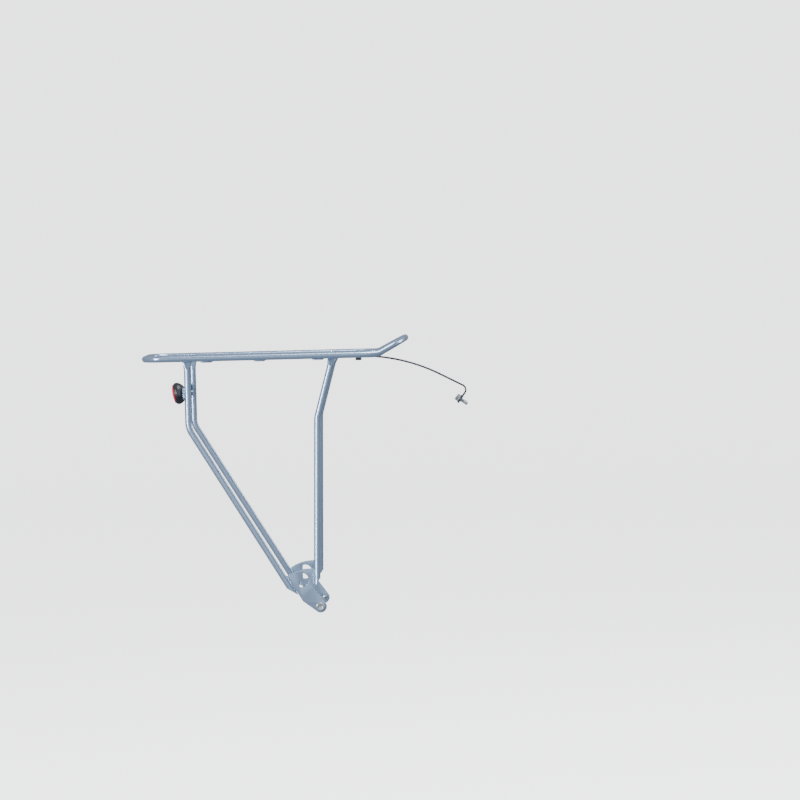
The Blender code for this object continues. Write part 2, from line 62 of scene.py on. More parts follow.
# Legs and dropout plates
PLATE_Y = 76.0 * MM
PLATE_THICKNESS = 3.0 * MM
PLATE_EYE_RADIUS = 9.0 * MM
PLATE_TOP_CENTRE = Vector((-15.5, -1.3)) * MM
PLATE_TOP_RADIUS = 57.2 * MM
PLATE_LOWER_SLOPE = math.radians(-37.0)
PLATE_FRONT_SLOPE = math.radians(-54.0)
PLATE_HEEL_RADIUS = 5.0 * MM
LEG_TOP_Y = 66.1 * MM
LEG_TOP = 367.5 * MM
LEG_FOOT_MIDDLE = 38.0 * MM
LEG_BEND_RADIUS = 32.0 * MM
LEG_WALL = 1.2 * MM
REAR_LEG = {"top": (-186.5, 367.5), "bend": (-186.5, 264.7), "foot": (-40.5, 22.8), "cut": (-0.500, -0.866)}
FRONT_LEG = {"top": (27.3, 367.5), "bend": (1.8, 275.6), "foot": (-4.2, 35.2), "cut": (0.800, -0.600)}
CRIMP_LENGTH = 19.0 * MM
CRIMP_FLAT_LENGTH = 5.5 * MM
CRIMP_THICKNESS = 2.6 * MM
CRIMP_SQUARENESS = 1.2
CRIMP_GROOVE_DEPTH = 0.30
CRIMP_GROOVE_WIDTH = 0.22

# Front stay and its clamp
STAY_WIDTH = 16.0 * MM
STAY_THICKNESS = 2.5 * MM
STAY_HEIGHT = 362.4 * MM
STAY_BOLT_X = 62.8 * MM
STAY_REAR = 44.0 * MM
STAY_ARC_START = 62.0 * MM
STAY_ARC_RADIUS = 260.0 * MM
STAY_ARC_ANGLE = math.radians(27.5)
STAY_STRAIGHT = 46.6 * MM
STAY_TAB_TURN = math.radians(97.7)
STAY_TAB_BEND_RADIUS = 7.5 * MM
STAY_TAB_LENGTH = 26.9 * MM
STAY_TAB_HOLE = 20.2 * MM
STAY_END_CORNER = 5.5 * MM
STAY_SLIDE = 16.0 * MM
STAY_SLOT_BEHIND_BOLT = 2.0 * MM

# Reflector
BAR_Z = 315.5 * MM
BAR_THICKNESS = 2.0 * MM
BAR_REAR = REAR_LEG["top"][0] * MM - TUBE / 2 - GAP - BAR_THICKNESS
REFLECTOR_TILT = math.radians(9.6)
REFLECTOR_DEPTH = 16.2 * MM
LENS_RADIUS = 13.6 * MM
LENS_WALL = 1.7 * MM
LENS_DOME = 2.1 * MM
PRISM_FIELD = 11.2 * MM
PRISM_PITCH = 1.05 * MM
PRISM_DEPTH = 0.22 * MM

# Fasteners
M5 = {"thread": 5.0 * MM, "pitch": 0.8 * MM, "flats": 8.0 * MM, "head": 3.5 * MM, "nut": 4.0 * MM,
      "washer": 10.0 * MM, "washer_thickness": 1.0 * MM}
M6 = {"thread": 6.0 * MM, "pitch": 1.0 * MM, "flats": 10.0 * MM, "head": 4.0 * MM, "nut": 5.0 * MM,
      "washer": 12.0 * MM, "washer_thickness": 1.6 * MM}
M6_BOLT_LENGTH = 16.0 * MM
M5_BOLT_LENGTH = 11.5 * MM


# Camera, studio


def add_camera():
    """The main view, from about 6 m off the rack's right side and a little above it."""
    place = (0.1872, -5.9816, 0.5360)
    pitch, yaw, roll = math.radians(2.30), math.radians(0.62), math.radians(-1.44)
    camera = bpy.data.objects.new("camera", bpy.data.cameras.new("camera"))
    camera.data.sensor_width = 36
    camera.data.lens = 182.5
    camera.data.clip_end = 100
    turn = Euler((math.pi / 2 - pitch, 0, yaw)).to_matrix() @ Matrix.Rotation(roll, 3, "Z")
    camera.matrix_world = Matrix.Translation(place) @ turn.to_4x4()
    bpy.context.scene.collection.objects.link(camera)
    bpy.context.scene.camera = camera


def add_softbox(name, place, target, size, power, colour):
    light = bpy.data.lights.new(name, "AREA")
    light.shape = "RECTANGLE"
    light.size, light.size_y = size
    light.energy = power
    light.color = colour
    made = bpy.data.objects.new(name, light)
    made.location = place
    made.rotation_euler = (Vector(target) - Vector(place)).to_track_quat("-Z", "Y").to_euler()
    bpy.context.scene.collection.objects.link(made)


def add_floor():
    """A pale floor at the height of the bicycle's wheels, which curves up all round into a backdrop."""
    ground, wall, curve, top = -0.345, 10.0, 2.0, 9.0
    curve_steps, sides = 16, 96
    profile = [(0.5, ground), (4.0, ground), (7.5, ground)]
    for step in range(curve_steps + 1):
        angle = math.pi / 2 * step / curve_steps
        profile.append((wall - curve + curve * math.sin(angle), ground + curve * (1 - math.cos(angle))))
    profile.append((wall, top))
    shape = bmesh.new()
    turns = [2 * math.pi * step / sides for step in range(sides)]
    rings = [
        add_ring(shape, [(r * math.cos(a), r * math.sin(a), height) for a in turns])
        for r, height in profile
    ]
    join_rings(shape, rings)
    shape.faces.new(rings[0][::-1])
    bmesh.ops.recalc_face_normals(shape, faces=shape.faces)
    floor = mesh_object("floor", shape, floor_material())
    floor.data.shade_smooth()
    floor.visible_glossy = False
    floor.visible_diffuse = False
    floor.visible_shadow = False


def add_studio():
    world = bpy.data.worlds.new("studio")
    bpy.context.scene.world = world
    world.use_nodes = True
    background = world.node_tree.nodes["Background"]
    background.inputs["Color"].default_value = (0.80, 0.88, 1.0, 1)
    background.inputs["Strength"].default_value = 0.36
    middle = (-0.05, 0, 0.20)
    add_softbox("key_left", (-2.6, -3.2, 0.9), middle, (1.1, 2.6), 230, (0.92, 0.96, 1.0))
    add_softbox("overhead", (0.9, -0.6, 3.0), middle, (2.6, 1.6), 120, (0.94, 0.97, 1.0))
    add_softbox("front_fill", (0.5, -6.4, 1.2), middle, (4.0, 3.0), 28, (0.90, 0.95, 1.0))
    add_softbox("rim_right", (3.2, 1.4, 1.5), middle, (0.8, 2.2), 45, (1, 1, 1))
    add_floor()


# Materials

LOOK = "look_"
NOISE_LOW = 0.3
NOISE_HIGH = 0.7


def new_material(slot, metallic):
    """A material for one of the record's slots, with its nodes, links, shader and position."""
    made = bpy.data.materials.new(LOOK + slot)
    made.use_nodes = True
    nodes, links = made.node_tree.nodes, made.node_tree.links
    shader = nodes["Principled BSDF"]
    shader.inputs["Metallic"].default_value = metallic
    place = nodes.new("ShaderNodeTexCoord").outputs["Object"]
    return made, nodes, links, shader, place


def noise(nodes, links, place, scale, detail):
    made = nodes.new("ShaderNodeTexNoise")
    made.inputs["Scale"].default_value = scale
    made.inputs["Detail"].default_value = detail
    links.new(place, made.inputs["Vector"])
    return made.outputs["Fac"]


def colour_by(nodes, links, factor, socket, low, high):
    ramp = nodes.new("ShaderNodeValToRGB")
    ramp.color_ramp.elements[0].position = NOISE_LOW
    ramp.color_ramp.elements[1].position = NOISE_HIGH
    ramp.color_ramp.elements[0].color = (*low, 1)
    ramp.color_ramp.elements[1].color = (*high, 1)
    links.new(factor, ramp.inputs["Fac"])
    links.new(ramp.outputs["Color"], socket)


def value_by(nodes, links, factor, socket, low, high):
    span = nodes.new("ShaderNodeMapRange")
    span.inputs["From Min"].default_value = NOISE_LOW
    span.inputs["From Max"].default_value = NOISE_HIGH
    span.inputs["To Min"].default_value = low
    span.inputs["To Max"].default_value = high
    links.new(factor, span.inputs["Value"])
    links.new(span.outputs["Result"], socket)


def bump_by(nodes, links, factor, shader, height):
    bump = nodes.new("ShaderNodeBump")
    bump.inputs["Strength"].default_value = 1.0
    bump.inputs["Distance"].default_value = height
    links.new(factor, bump.inputs["Height"])
    links.new(bump.outputs["Normal"], shader.inputs["Normal"])


def silver_paint():
    """Bluish silver powder coat: metal flake in the colour, orange peel in the gloss."""
    made, nodes, links, shader, place = new_material("silver_paint", 0.70)
    shader.inputs["Coat Weight"].default_value = 0.40
    shader.inputs["Coat Roughness"].default_value = 0.10
    flake = noise(nodes, links, place, 2600, 2)
    colour_by(nodes, links, flake, shader.inputs["Base Color"], (0.32, 0.43, 0.59), (0.36, 0.47, 0.64))
    cloud = noise(nodes, links, place, 60, 3)
    value_by(nodes, links, cloud, shader.inputs["Roughness"], 0.20, 0.24)
    peel = noise(nodes, links, place, 400, 1)
    bump_by(nodes, links, peel, shader, 0.006 * MM)
    return made


def zinc():
    made, nodes, links, shader, place = new_material("zinc", 1.0)
    cloud = noise(nodes, links, place, 350, 4)
    colour_by(nodes, links, cloud, shader.inputs["Base Color"], (0.55, 0.60, 0.63), (0.76, 0.79, 0.80))
    value_by(nodes, links, cloud, shader.inputs["Roughness"], 0.18, 0.34)
    scuffs = noise(nodes, links, place, 1800, 2)
    bump_by(nodes, links, scuffs, shader, 0.02 * MM)
    return made


def dark_steel():
    made, nodes, links, shader, place = new_material("dark_steel", 0.6)
    cloud = noise(nodes, links, place, 220, 4)
    colour_by(nodes, links, cloud, shader.inputs["Base Color"], (0.045, 0.048, 0.060), (0.085, 0.090, 0.108))
    value_by(nodes, links, cloud, shader.inputs["Roughness"], 0.30, 0.46)
    grain = noise(nodes, links, place, 1500, 2)
    bump_by(nodes, links, grain, shader, 0.02 * MM)
    return made


def black_plastic():
    made, nodes, links, shader, place = new_material("black_plastic", 0.0)
    cloud = noise(nodes, links, place, 300, 3)
    colour_by(nodes, links, cloud, shader.inputs["Base Color"], (0.010, 0.011, 0.014), (0.022, 0.023, 0.028))
    value_by(nodes, links, cloud, shader.inputs["Roughness"], 0.34, 0.44)
    grain = noise(nodes, links, place, 2200, 1)
    bump_by(nodes, links, grain, shader, 0.02 * MM)
    return made


def red_lens():
    made, nodes, links, shader, place = new_material("red_lens", 0.0)
    shader.inputs["Coat Weight"].default_value = 1.0
    shader.inputs["Coat Roughness"].default_value = 0.03
    cloud = noise(nodes, links, place, 500, 2)
    colour_by(nodes, links, cloud, shader.inputs["Base Color"], (0.50, 0.006, 0.016), (0.72, 0.020, 0.035))
    value_by(nodes, links, cloud, shader.inputs["Roughness"], 0.08, 0.16)
    return made


def floor_material():
    made, nodes, links, shader, place = new_material("floor", 0.0)
    shader.inputs["Roughness"].default_value = 0.8
    shader.inputs["Emission Color"].default_value = (1.0, 1.0, 1.0, 1)
    shader.inputs["Emission Strength"].default_value = 2.4
    cloud = noise(nodes, links, place, 0.6, 2)
    colour_by(nodes, links, cloud, shader.inputs["Base Color"], (0.90, 0.90, 0.91), (0.94, 0.94, 0.94))
    return made


# Meshes


def mesh_object(name, shape, material):
    mesh = bpy.data.meshes.new(name)
    shape.to_mesh(mesh)
    shape.free()
    made = bpy.data.objects.new(name, mesh)
    bpy.context.scene.collection.objects.link(made)
    mesh.materials.append(material)
    return made


def finish_piece(piece, body, nodes=(), angle=35):
    """Smooth shading, a body to ride on, and the CAD nodes that the piece stands for."""
    piece.data.shade_smooth()
    piece.data.set_sharp_from_angle(angle=math.radians(angle))
    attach(piece, body)
    if nodes:
        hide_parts(*nodes)
    return piece


def stand(piece, place, axis):
    """Puts a piece at a place, with its own Z along an axis."""
    turn = Vector(axis).to_track_quat("Z", "Y").to_matrix().to_4x4()
    piece.matrix_world = Matrix.Translation(place) @ turn
    return piece


def join_rings(shape, rings, closed_profile=False):
    """Quads between closed rings of vertices that have as many points each."""
    pairs = list(zip(rings, rings[1:]))
    if closed_profile:
        pairs.append((rings[-1], rings[0]))
    for lower, upper in pairs:
        count = len(lower)
        for index in range(count):
            after = (index + 1) % count
            shape.faces.new((lower[index], lower[after], upper[after], upper[index]))


def add_ring(shape, points):
    return [shape.verts.new(point) for point in points]


def arc(centre, radius, start, end, steps):
    angles = [start + (end - start) * step / steps for step in range(steps + 1)]
    return [
        Vector((centre[0] + radius * math.cos(a), centre[1] + radius * math.sin(a))) for a in angles
    ]


def fillet(before, corner, after, radius, steps):
    """The arc that rounds one corner of a route."""
    corner = Vector(corner)
    into = (corner - Vector(before)).normalized()
    out = (Vector(after) - corner).normalized()
    turn = into.angle(out)
    start = corner - into * radius * math.tan(turn / 2)
    inward = (out - into * out.dot(into)).normalized()
    centre = start + inward * radius
    return [
        centre + (into * math.sin(turn * s / steps) - inward * math.cos(turn * s / steps)) * radius
        for s in range(steps + 1)
    ]


def directions(route, cyclic):
    """Each point's direction of travel."""
    count = len(route)
    found = []
    for index in range(count):
        before = route[index - 1] if cyclic or index else route[0]
        after = route[(index + 1) % count] if cyclic or index < count - 1 else route[-1]
        found.append((after - before).normalized())
    return found


def circle_section(radius, sides=32):
    angles = [2 * math.pi * index / sides for index in range(sides)]
    return [Vector((radius * math.cos(a), radius * math.sin(a))) for a in angles]


def sweep(shape, route, sections, side, cyclic=False):
    """Rings along a route. A section's first number goes sideways, along the given direction."""
    rings = []
    for place, ahead, section in zip(route, directions(route, cyclic), sections):
        across = (side - ahead * side.dot(ahead)).normalized()
        up = ahead.cross(across)
        rings.append(add_ring(shape, [place + across * p.x + up * p.y for p in section]))
    join_rings(shape, rings, closed_profile=cyclic)
    return rings


def fold(length):
    """X and Z of a point that far along the platform, from above the origin forwards."""
    reach = DECK_BEND_RADIUS * math.tan(DECK_BEND_ANGLE / 2)
    past = length - (DECK_BEND - reach)
    if past <= 0:
        return length, DECK_HEIGHT
    angle = min(past / DECK_BEND_RADIUS, DECK_BEND_ANGLE)
    rest = past - angle * DECK_BEND_RADIUS
    x = DECK_BEND - reach + DECK_BEND_RADIUS * math.sin(angle) + rest * math.cos(angle)
    z = DECK_HEIGHT + DECK_BEND_RADIUS * (1 - math.cos(angle)) + rest * math.sin(angle)
    return x, z


def make_platform(paint):
    """The platform's one bent tube: a route drawn flat, then folded upwards at its front."""
    rail = range(40, -201, -24)
    front_centre = (DECK_BEND + DECK_FRONT_LENGTH - DECK_HALF_WIDTH, 0)
    corner = Vector((DECK_REAR + DECK_REAR_CORNER, DECK_HALF_WIDTH - DECK_REAR_CORNER))
    plan = arc(front_centre, DECK_HALF_WIDTH, -math.pi / 2, math.pi / 2, 96)
    plan += [Vector((x * MM, DECK_HALF_WIDTH)) for x in rail]
    plan += arc(corner, DECK_REAR_CORNER, math.pi / 2, math.pi, 20)
    plan += arc((corner.x, -corner.y), DECK_REAR_CORNER, math.pi, 1.5 * math.pi, 20)
    plan += [Vector((x * MM, -DECK_HALF_WIDTH)) for x in reversed(rail)]
    route = []
    for length, y in plan:
        x, z = fold(length)
        route.append(Vector((x, y, z)))
    shape = bmesh.new()
    sweep(shape, route, [circle_section(TUBE / 2)] * len(route), Vector((0, 0, 1)), cyclic=True)
    finish_piece(mesh_object("platform_tube", shape, paint), "rack", ["platform_loop"])


def lean(z):
    """How far from the middle the legs' plane is at a height."""
    slope = (PLATE_Y - LEG_TOP_Y) / (LEG_TOP - LEG_FOOT_MIDDLE)
    return PLATE_Y - (z - LEG_FOOT_MIDDLE) * slope


def crimp_section(from_top):
    """A tube's section that far from its crimped top: round, then flat with a shallow groove."""
    rise = (CRIMP_LENGTH - from_top) / (CRIMP_LENGTH - CRIMP_FLAT_LENGTH)
    rise = max(0.0, min(rise, 1.0))
    blend = rise * rise * (3 - 2 * rise)
    thickness = TUBE + (CRIMP_THICKNESS - TUBE) * blend
    width = math.pi * TUBE / 2 + (1 - math.pi / 2) * thickness
    power = 2 / (2 + CRIMP_SQUARENESS * blend)
    points = []
    for point in circle_section(1.0):
        wide = math.copysign(abs(point.x) ** power, point.x) * width / 2
        deep = math.copysign(abs(point.y) ** power, point.y) * thickness / 2
        dip = math.exp(-((wide / (CRIMP_GROOVE_WIDTH * width)) ** 2))
        points.append(Vector((wide, deep * (1 - CRIMP_GROOVE_DEPTH * blend * dip))))
    return points


def leg_route(leg, side):
    """A leg's middle line, from its crimped top to a tube's width past its foot."""
    top, bend, foot = (Vector(leg[key]) * MM for key in ("top", "bend", "foot"))
    run = (foot - bend).normalized()
    rise = (top - bend).normalized()
    fine, coarse = 16, 8
    plan = [top - rise * CRIMP_LENGTH * s / fine for s in range(fine + 1)]
    plan += fillet(top, bend, foot, LEG_BEND_RADIUS, fine)
    start = plan[-1]
    length = (foot - start).length
    plan += [start + run * length * s / coarse for s in range(1, coarse)]
    plan.append(foot + run * TUBE)
    return [Vector((x, side * lean(z), z)) for x, z in plan]


def make_leg(name, leg, side, paint):
    """A hollow tube with a crimped top, open at its slanted foot."""
    route = leg_route(leg, side)
    travelled = [0.0]
    for before, after in zip(route, route[1:]):
        travelled.append(travelled[-1] + (after - before).length)
    shape = bmesh.new()
    forward = Vector((1, 0, 0))
    outer = sweep(shape, route, [crimp_section(s) for s in travelled], forward)
    shape.faces.new(outer[0])
    bore = circle_section(TUBE / 2 - LEG_WALL)
    inner = sweep(shape, route[-3:], [bore] * 3, forward)
    shape.faces.new(inner[0])
    for face in shape.faces:
        face.normal_update()
    foot = Vector((leg["foot"][0] * MM, side * lean(leg["foot"][1] * MM), leg["foot"][1] * MM))
    cut = Vector((leg["cut"][0], 0, leg["cut"][1]))
    everything = shape.verts[:] + shape.edges[:] + shape.faces[:]
    result = bmesh.ops.bisect_plane(
        shape, geom=everything, dist=1e-7, plane_co=foot, plane_no=cut, clear_outer=True
    )
    rims = [item for item in result["geom_cut"] if isinstance(item, bmesh.types.BMEdge)]
    bmesh.ops.bridge_loops(shape, edges=rims)
    bmesh.ops.recalc_face_normals(shape, faces=shape.faces)
    finish_piece(mesh_object(name + "_tube", shape, paint), "rack", [name])


def flat_mesh(name, outlines, thickness, edge, material):
    """A plate in its own XY plane with rounded edges, from an outline and any holes in it."""
    curve = bpy.data.curves.new(name, "CURVE")
    curve.dimensions = "2D"
    curve.fill_mode = "BOTH"
    curve.extrude = thickness / 2 - edge
    curve.bevel_depth = edge
    curve.bevel_resolution = 3
    curve.offset = -edge
    for points in outlines:
        spline = curve.splines.new("POLY")
        spline.points.add(len(points) - 1)
        for point, place in zip(spline.points, points):
            point.co = (place[0], place[1], 0, 1)
        spline.use_cyclic_u = True
    drawn = bpy.data.objects.new(name, curve)
    bpy.context.scene.collection.objects.link(drawn)
    bpy.context.view_layer.update()
    graph = bpy.context.evaluated_depsgraph_get()
    mesh = bpy.data.meshes.new_from_object(drawn.evaluated_get(graph))
    bpy.data.objects.remove(drawn, do_unlink=True)
    shape = bmesh.new()
    shape.from_mesh(mesh)
    bpy.data.meshes.remove(mesh)
    bmesh.ops.remove_doubles(shape, verts=shape.verts, dist=1e-6)
    bmesh.ops.recalc_face_normals(shape, faces=shape.faces)
    return mesh_object(name, shape, material)


def rectangle(length, width, corner, steps=8):
    x = length / 2 - corner
    y = width / 2 - corner
    points = []
    for index, centre in enumerate([(x, y), (-x, y), (-x, -y), (x, -y)]):
        points += arc(centre, corner, index * math.pi / 2, (index + 1) * math.pi / 2, steps)
    return points


def circle(radius):
    return arc((0, 0), radius, 0, 2 * math.pi, 48)[:-1]


# Plates


def crossing(point_a, direction_a, point_b, direction_b):
    """Where two lines meet, each given by a point and a direction."""
    across = Vector((direction_b[1], -direction_b[0]))
    distance = (Vector(point_b) - Vector(point_a)).dot(across) / Vector(direction_a).dot(across)
    return Vector(point_a) + Vector(direction_a) * distance


def on_top_arc(point, run, centre, radius):
    """Where a leg's edge meets the plate's round top."""
    offset = point - centre
    along = offset.dot(run)
    root = math.sqrt(along * along - offset.length_squared + radius**2)
    return point + run * (-along - root)


def plate_outline():
    """A dropout plate between its legs: a round top, a heel, and an eye round the origin."""
    clear = TUBE / 2 + GAP
    top_centre, top_radius = PLATE_TOP_CENTRE, PLATE_TOP_RADIUS
    rear_foot, front_foot = Vector(REAR_LEG["foot"]) * MM, Vector(FRONT_LEG["foot"]) * MM
    rear_run = (rear_foot - Vector(REAR_LEG["bend"]) * MM).normalized()
    front_run = (front_foot - Vector(FRONT_LEG["bend"]) * MM).normalized()
    rear_edge = rear_foot + Vector((-rear_run.y, rear_run.x)) * clear
    front_edge = front_foot + Vector((front_run.y, -front_run.x)) * clear
    lower = Vector((1, 0))
    lower.rotate(Matrix.Rotation(PLATE_LOWER_SLOPE, 2))
    front = Vector((1, 0))
    front.rotate(Matrix.Rotation(PLATE_FRONT_SLOPE, 2))
    lower_touch = Vector((lower.y, -lower.x)) * PLATE_EYE_RADIUS
    front_touch = Vector((-front.y, front.x)) * PLATE_EYE_RADIUS
    top_rear = on_top_arc(rear_edge, rear_run, top_centre, top_radius)
    top_front = on_top_arc(front_edge, front_run, top_centre, top_radius)
    start, end = (math.atan2(*(p - top_centre).yx) for p in (top_rear, top_front))
    points = arc(top_centre, top_radius, start, end, 32)
    points.append(crossing(front_edge, front_run, front_touch, front))
    start, end = math.atan2(*front_touch.yx), math.atan2(*lower_touch.yx)
    points += arc((0, 0), PLATE_EYE_RADIUS, start, end, 40)
    heel = crossing(rear_edge, rear_run, lower_touch, lower)
    points += fillet(lower_touch, heel, top_rear, PLATE_HEEL_RADIUS, 10)
    return points


def hook_hole():
    """The D-shaped hole: a round front, a flat rear edge and two rounded corners."""
    centre, radius, flat, corner = Vector((-27.0, 39.3)) * MM, 10.4 * MM, -30.2 * MM, 1.8 * MM
    half = math.acos((flat - centre.x) / radius)
    points = arc(centre, radius, -half, half, 48)
    trim = 4
    upper = fillet(points[-1 - trim], points[-1], points[0], corner, 6)
    lower = fillet(points[-1], points[0], points[trim], corner, 6)
    return points[trim:-trim] + upper + lower


def stand_upright(piece, y):
    piece.matrix_world = Matrix.Translation((0, y, 0)) @ Matrix.Rotation(math.pi / 2, 4, "X")


def make_plates(paint):
    outlines = [plate_outline(), hook_hole(), circle(M6["thread"] / 2 + GAP)]
    for name, side in SIDES.items():
        plate = flat_mesh("dropout_sheet_" + name, outlines, PLATE_THICKNESS, 0.5 * MM, paint)
        stand_upright(plate, side * PLATE_Y)
        finish_piece(plate, "rack", ["dropout_plate_" + name])


def make_flat_like(node, corner, edge, name, body, material, holes=()):
    """A level plate with rounded edges in the place of a flat CAD node."""
    low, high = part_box(node)
    size = high - low
    outlines = [rectangle(size.x, size.y, corner)] + list(holes)
    plate = flat_mesh(name, outlines, size.z, edge, material)
    plate.location = (low + high) / 2
    finish_piece(plate, body, [node])


def make_level_plates(paint):
    for place in ("rear", "middle", "front"):
        make_flat_like("cross_plate_" + place, 3.0 * MM, 0.35 * MM, "cross_strip_" + place, "rack", paint)
    hole = circle(M5["thread"] / 2 + GAP)
    make_flat_like("stay_mount_plate", 1.0 * MM, 0.4 * MM, "stay_mount_strip", "rack", paint, [hole])


def make_bar(paint):
    low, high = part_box("reflector_bar")
    size = high - low
    outlines = [rectangle(size.y, size.z, 2.5 * MM), circle(M5["thread"] / 2 + GAP)]
    bar = flat_mesh("reflector_strip", outlines, size.x, 0.45 * MM, paint)
    turn = Euler((math.pi / 2, 0, math.pi / 2)).to_matrix().to_4x4()
    bar.matrix_world = Matrix.Translation((low + high) / 2) @ turn
    finish_piece(bar, "rack", ["reflector_bar"])


# Fasteners, each drawn along its own Z

FACE = 0.475  # radius of a hexagon's round face, as a share of its width across flats
CHAMFER = math.radians(30)
THREAD_STEPS = 8  # rings in each turn of a thread
THREAD_DEPTH = 0.55  # as a share of the pitch
RING = 48
RING_ANGLES = [2 * math.pi * index / RING for index in range(RING)]


def polar(radii, heights):
    """A ring of points from one radius and one height, or one for each angle."""
    radii = radii if isinstance(radii, list) else [radii] * RING
    heights = heights if isinstance(heights, list) else [heights] * RING
    return [
        Vector((r * math.cos(a), r * math.sin(a), h)) for r, h, a in zip(radii, heights, RING_ANGLES)
    ]


def hexagon(flats):
    """The radius of a hexagon at each angle of a ring."""
    return [flats / 2 / math.cos(a % (math.pi / 3) - math.pi / 6) for a in RING_ANGLES]


def chamfered(flats, height, downwards):
    """The edge of a hexagon's chamfer, which starts at a height on its round face."""
    sign = -1 if downwards else 1
    return [height + sign * (r - FACE * flats) * math.tan(CHAMFER) for r in hexagon(flats)]


def thread_rings(size, start, end):
    """Rings whose radius rises and falls with the thread's helix."""
    steps = int((end - start) / size["pitch"] * THREAD_STEPS)
    depth = THREAD_DEPTH * size["pitch"]
    rings = []
    for step in range(steps + 1):
        height = start + (end - start) * step / steps
        radii = []
        for angle in RING_ANGLES:
            phase = (height / size["pitch"] - angle / (2 * math.pi)) % 1.0
            radii.append(size["thread"] / 2 - depth * abs(2 * phase - 1))
        rings.append(polar(radii, height))
    return rings


def make_bolt(name, node, under_head, axis, size, length, body, material):
    """A hexagon bolt, threaded to its head, which has a shallow dish in its top."""
    shape = bmesh.new()
    head, flats = size["head"], size["flats"]
    rings = [
        polar(0.26 * flats, -head + 0.35 * MM), polar(0.34 * flats, -head + 0.05 * MM),
        polar(0.38 * flats, -head), polar(FACE * flats, -head),
        polar(hexagon(flats), chamfered(flats, -head, False)),
        polar(hexagon(flats), chamfered(flats, -0.05 * MM, True)),
        polar(FACE * flats, 0), polar(size["thread"] / 2, 0),
    ]
    rings += thread_rings(size, size["pitch"], length - 0.6 * MM)
    rings.append(polar(size["thread"] / 2 - 1.0 * MM, length))
    joined = [add_ring(shape, ring) for ring in rings]
    join_rings(shape, joined)
    shape.faces.new(joined[0][::-1])
    shape.faces.new(joined[-1])
    bmesh.ops.recalc_face_normals(shape, faces=shape.faces)
    made = stand(mesh_object(name, shape, material), under_head, axis)
    finish_piece(made, body, [node], angle=28)


def make_nut(name, node, face, axis, size, body, material):
    """A hexagon nut with a plain bore, chamfered at both ends."""
    shape = bmesh.new()
    flats, height, bore = size["flats"], size["nut"], size["thread"] / 2 + 0.1 * MM
    rings = [
        polar(bore, 0.5 * MM), polar(bore + 0.4 * MM, 0), polar(FACE * flats, 0),
        polar(hexagon(flats), chamfered(flats, 0, False)),
        polar(hexagon(flats), chamfered(flats, height, True)),
        polar(FACE * flats, height), polar(bore + 0.4 * MM, height), polar(bore, height - 0.5 * MM),
    ]
    join_rings(shape, [add_ring(shape, ring) for ring in rings], closed_profile=True)
    bmesh.ops.recalc_face_normals(shape, faces=shape.faces)
    made = stand(mesh_object(name, shape, material), face, axis)
    finish_piece(made, body, [node], angle=28)


def make_washer(name, node, face, axis, size, body, material):
    """A stamped washer: its outer edges are rounded and those of its hole slightly broken."""
    shape = bmesh.new()
    outer, bore, height = size["washer"] / 2, size["thread"] / 2 + 0.2 * MM, size["washer_thickness"]
    edge, edge_steps = 0.3 * MM, 4
    quarter = [math.pi / 2 * step / edge_steps for step in range(edge_steps + 1)]
    rings = [polar(bore, 0.05 * MM), polar(bore + 0.05 * MM, 0)]
    for angle in quarter:
        rings.append(polar(outer - edge * (1 - math.sin(angle)), edge * (1 - math.cos(angle))))
    for angle in quarter:
        rings.append(polar(outer - edge * (1 - math.cos(angle)), height - edge * (1 - math.sin(angle))))
    rings += [polar(bore + 0.15 * MM, height), polar(bore, height - 0.15 * MM)]
    join_rings(shape, [add_ring(shape, ring) for ring in rings], closed_profile=True)
    bmesh.ops.recalc_face_normals(shape, faces=shape.faces)
    made = stand(mesh_object(name, shape, material), face, axis)
    finish_piece(made, body, [node], angle=40)


def make_frame_bolts(zinc_plate):
    for name, side in SIDES.items():
        outward = Vector((0, side, 0))
        face = outward * (PLATE_Y + PLATE_THICKNESS / 2 + GAP)
        make_washer("eyelet_washer_" + name, "frame_washer_" + name, face, outward, M6, "rack", zinc_plate)
        seat = face + outward * (M6["washer_thickness"] + GAP)
        node = "frame_bolt_" + name
        make_bolt("eyelet_bolt_" + name, node, seat, -outward, M6, M6_BOLT_LENGTH, "rack", zinc_plate)


# Front stay


def stay_stretches():
    """The strap's straight and curved stretches as length and turn."""
    reach = STAY_TAB_BEND_RADIUS * math.tan(STAY_TAB_TURN / 2)
    return [
        (STAY_ARC_START - STAY_REAR, 0),
        (STAY_ARC_RADIUS * STAY_ARC_ANGLE, -STAY_ARC_ANGLE),
        (STAY_STRAIGHT - reach, 0),
        (STAY_TAB_BEND_RADIUS * STAY_TAB_TURN, -STAY_TAB_TURN),
        (STAY_TAB_LENGTH - reach, 0),
    ]


def stay_at(distance):
    """Place and heading in X and Z that far along the strap's middle."""
    place, heading = Vector((STAY_REAR, STAY_HEIGHT)), 0.0
    for length, turn in stay_stretches():
        part = min(max(distance, 0.0), length)
        if turn:
            radius = length / turn
            swept = part / radius
            place += Vector((
                radius * (math.sin(heading + swept) - math.sin(heading)),
                -radius * (math.cos(heading + swept) - math.cos(heading)),
            ))
            heading += swept
        else:
            place += Vector((math.cos(heading), math.sin(heading))) * part
        distance -= length
        if distance <= 0:
            break
    return place, heading


def stay_cuts():
    """Where the flat strap is divided so that it bends smoothly: finely on the long arc."""
    long_stretch, fine, coarse = 50 * MM, math.radians(1.5), math.radians(8)
    cuts, start = [], 0.0
    for length, turn in stay_stretches():
        steps = max(2, int(abs(turn) / (fine if length > long_stretch else coarse)))
        cuts += [start + length * step / steps for step in range(steps + 1)]
        start += length
    return sorted(set(cuts))


def moved(points, x):
    return [(p[0] + x, p[1]) for p in points]


